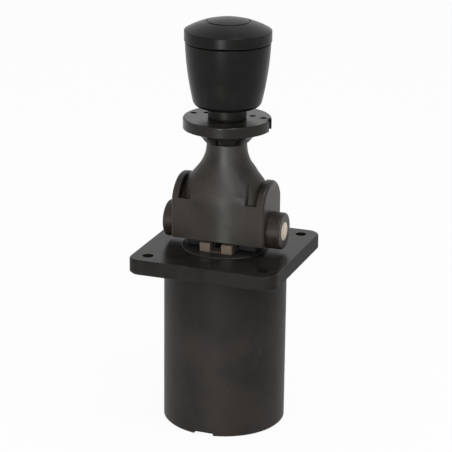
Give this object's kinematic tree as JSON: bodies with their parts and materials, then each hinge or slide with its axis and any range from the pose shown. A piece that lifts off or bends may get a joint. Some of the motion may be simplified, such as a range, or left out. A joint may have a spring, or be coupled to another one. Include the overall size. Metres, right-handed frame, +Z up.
{
  "type": "hydraulic pilot joystick valve",
  "caption": "Hydraulic pilot valve with a square mounting flange, round body, forked yoke on a cross pin and a lever with a round knob that tilts fore and aft.",
  "frame": {"origin": "centre of the valve body's bottom face", "axes": "+Z up along the body and the upright lever; X along the pivot pins; the lever tilts in the YZ plane"},
  "size_m": [0.09, 0.09, 0.2424],
  "materials": {
    "cast_body": "dark phosphated cast iron, fine grain",
    "flange_iron": "dark phosphated iron with a machined, semi-gloss top",
    "blackened_steel": "oil-blackened cast steel",
    "dark_steel": "blackened machined steel",
    "screw_steel": "black oxide",
    "tappet_steel": "ground steel, warm",
    "bright_steel": "ground steel",
    "spring_steel": "drawn spring wire",
    "bronze_bush": "sintered bronze",
    "brass_insert": "turned brass",
    "moulded_disc": "moulded black plastic",
    "collar_plastic": "moulded black plastic",
    "knob_plastic": "moulded black plastic, satin",
    "seal_rubber": "black rubber"
  },
  "bodies": {
    "housing": {"valve_body": "cast_body", "body_seal": "seal_rubber", "mounting_flange": "flange_iron", "pivot_bracket": "dark_steel", "tie_screws": "screw_steel", "lug_bush_left": "bronze_bush", "lug_bush_right": "bronze_bush", "plunger_guide_front": "dark_steel", "plunger_guide_rear": "dark_steel", "plunger_wiper_front": "seal_rubber", "plunger_wiper_rear": "seal_rubber", "guide_seal_front": "seal_rubber", "guide_seal_rear": "seal_rubber", "return_spring_front": "spring_steel", "return_spring_rear": "spring_steel"},
    "lever": {"yoke": "blackened_steel", "pivot_pin_left": "bright_steel", "pivot_pin_right": "bright_steel", "lever_stem": "bright_steel", "lock_nut": "dark_steel", "boot_disc": "moulded_disc", "rubber_spacer": "seal_rubber", "neck_collar": "collar_plastic", "knob_insert": "brass_insert", "knob_body": "knob_plastic", "knob_cap": "knob_plastic"},
    "plunger_front_set": {"tappet_front": "tappet_steel", "plunger_front": "bright_steel", "spring_seat_front": "bright_steel"},
    "spool_front_set": {"spool_front": "bright_steel", "control_spring_front": "spring_steel"},
    "plunger_rear_set": {"tappet_rear": "tappet_steel", "plunger_rear": "bright_steel", "spring_seat_rear": "bright_steel"},
    "spool_rear_set": {"spool_rear": "bright_steel", "control_spring_rear": "spring_steel"}
  },
  "joints": [
    {"name": "lever_tilt", "type": "hinge", "parent": "housing", "child": "lever", "pos_m": [0, 0, 0.1198], "axis": [1, 0, 0], "range_deg": [-20, 20], "stiffness_Nm_per_rad": 3},
    {"name": "plunger_front_slide", "type": "slide", "parent": "housing", "child": "plunger_front_set", "axis": [0, 0, 1], "range_m": [-0.00461, 0.00461], "deforming": ["return_spring_front"]},
    {"name": "spool_front_slide", "type": "slide", "parent": "housing", "child": "spool_front_set", "axis": [0, 0, 1], "range_m": [-0.00105, 0.00105], "deforming": ["control_spring_front"]},
    {"name": "plunger_rear_slide", "type": "slide", "parent": "housing", "child": "plunger_rear_set", "axis": [0, 0, 1], "range_m": [-0.00461, 0.00461], "deforming": ["return_spring_rear"]},
    {"name": "spool_rear_slide", "type": "slide", "parent": "housing", "child": "spool_rear_set", "axis": [0, 0, 1], "range_m": [-0.00105, 0.00105], "deforming": ["control_spring_rear"]}
  ],
  "couplings": [
    {"joint": "plunger_front_slide", "follows": "lever_tilt", "m_per_rad": -0.0132},
    {"joint": "spool_front_slide", "follows": "lever_tilt", "m_per_rad": -0.003},
    {"joint": "plunger_rear_slide", "follows": "lever_tilt", "m_per_rad": 0.0132},
    {"joint": "spool_rear_slide", "follows": "lever_tilt", "m_per_rad": 0.003}
  ]
}
